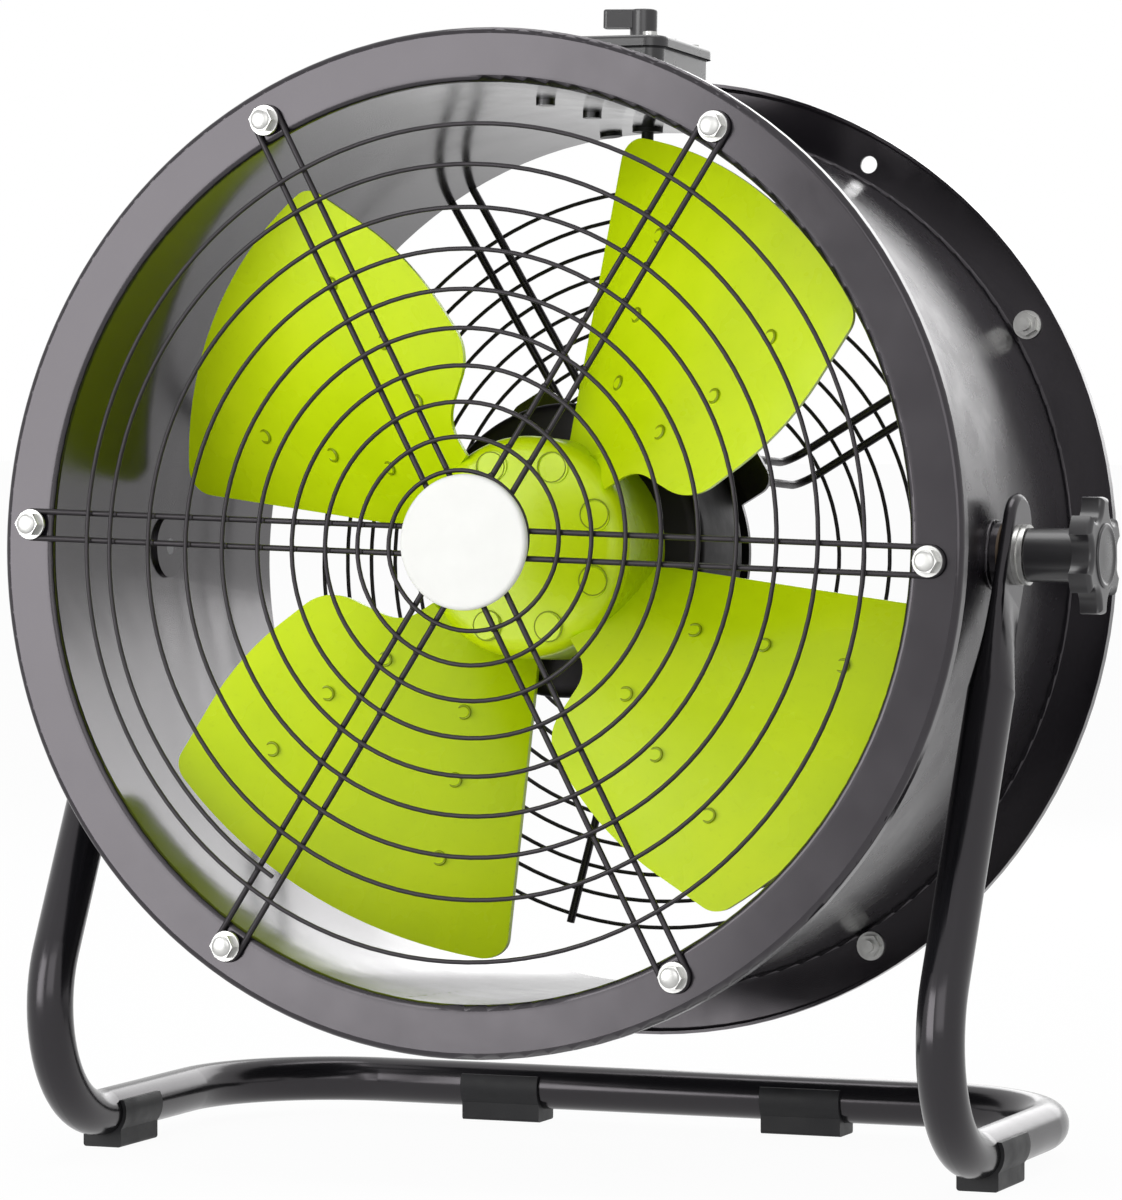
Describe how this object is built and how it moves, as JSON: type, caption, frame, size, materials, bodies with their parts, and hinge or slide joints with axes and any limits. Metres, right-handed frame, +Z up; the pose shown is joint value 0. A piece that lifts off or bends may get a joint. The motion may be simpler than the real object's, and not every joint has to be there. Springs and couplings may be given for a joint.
{
  "type": "drum floor fan",
  "caption": "Drum floor fan: a sheet-metal barrel with wire guards and a twisted-blade impeller, tilting between the ends of a bent tube stand and held by clamp knobs.",
  "frame": {"origin": "on the floor under the middle of the drum", "axes": "+Z up, -Y towards the front guard, +X to the right seen from the front"},
  "size_m": [0.5286, 0.2888, 0.5435],
  "materials": {
    "powder_coat": "glossy dark grey powder coat",
    "motor_enamel": "black enamel",
    "zinc": "bright zinc plate",
    "lime_plastic": "semi-gloss moulded lime green",
    "black_plastic": "fine-grained black moulding",
    "disc_white": "plain white",
    "rubber": "matt black rubber",
    "casting": "plain casting",
    "core_steel": "laminated steel",
    "winding": "enamelled copper wire"
  },
  "bodies": {
    "stand": {"stand_tube": "powder_coat", "foot_front_right": "rubber", "foot_front_left": "rubber", "foot_rear_right": "rubber", "foot_rear_left": "rubber", "clamp_washer_right": "zinc", "clamp_washer_left": "zinc", "friction_pad_right": "rubber", "friction_pad_left": "rubber"},
    "rotor": {"rotor_can": "motor_enamel", "rotor_cage": "core_steel", "motor_shaft": "zinc", "impeller": "lime_plastic", "impeller_screws": "zinc"},
    "knob_right": {"clamp_knob_right": "black_plastic", "clamp_stud_right": "zinc"},
    "knob_left": {"clamp_knob_left": "black_plastic", "clamp_stud_left": "zinc"},
    "selector": {"speed_knob": "black_plastic", "switch_spindle": "zinc"},
    "fan_head": {"drum_shell": "powder_coat", "pivot_boss_right": "powder_coat", "pivot_boss_left": "powder_coat", "motor_arms": "powder_coat", "front_guard": "powder_coat", "rear_guard": "powder_coat", "motor_plate": "powder_coat", "front_guard_bolts": "zinc", "front_guard_nuts": "zinc", "rear_guard_bolts": "zinc", "rear_guard_nuts": "zinc", "motor_base_screws": "zinc", "lid_screws": "zinc", "box_screws": "zinc", "front_bearing": "zinc", "rear_bearing": "zinc", "switch_box": "black_plastic", "box_lid": "black_plastic", "rotary_switch": "black_plastic", "run_capacitor": "black_plastic", "terminal_block": "black_plastic", "cable_glands": "black_plastic", "guard_disc": "disc_white", "box_gasket": "rubber", "cable_grommet": "rubber", "blanking_plug": "rubber", "motor_cable": "rubber", "motor_base": "casting", "stator_core": "core_steel", "stator_windings": "winding"}
  },
  "joints": [
    {"name": "head_tilt", "type": "hinge", "parent": "stand", "child": "fan_head", "pos_m": [0, 0, 0.288], "axis": [-1, 0, 0], "range_deg": [-20, 70]},
    {"name": "impeller_spin", "type": "hinge", "parent": "fan_head", "child": "rotor", "pos_m": [0, 0, 0.288], "axis": [0, 0.9986, -0.0523], "continuous": true},
    {"name": "right_clamp_turn", "type": "hinge", "parent": "fan_head", "child": "knob_right", "pos_m": [0.24, 0, 0.288], "axis": [1, 0, 0], "range_deg": [0, 360]},
    {"name": "left_clamp_turn", "type": "hinge", "parent": "fan_head", "child": "knob_left", "pos_m": [-0.24, 0, 0.288], "axis": [-1, 0, 0], "range_deg": [0, 360]},
    {"name": "speed_select", "type": "hinge", "parent": "fan_head", "child": "selector", "pos_m": [0.037, 0.00302, 0.52717], "axis": [0, 0.0523, 0.9986], "range_deg": [0, 135]}
  ]
}
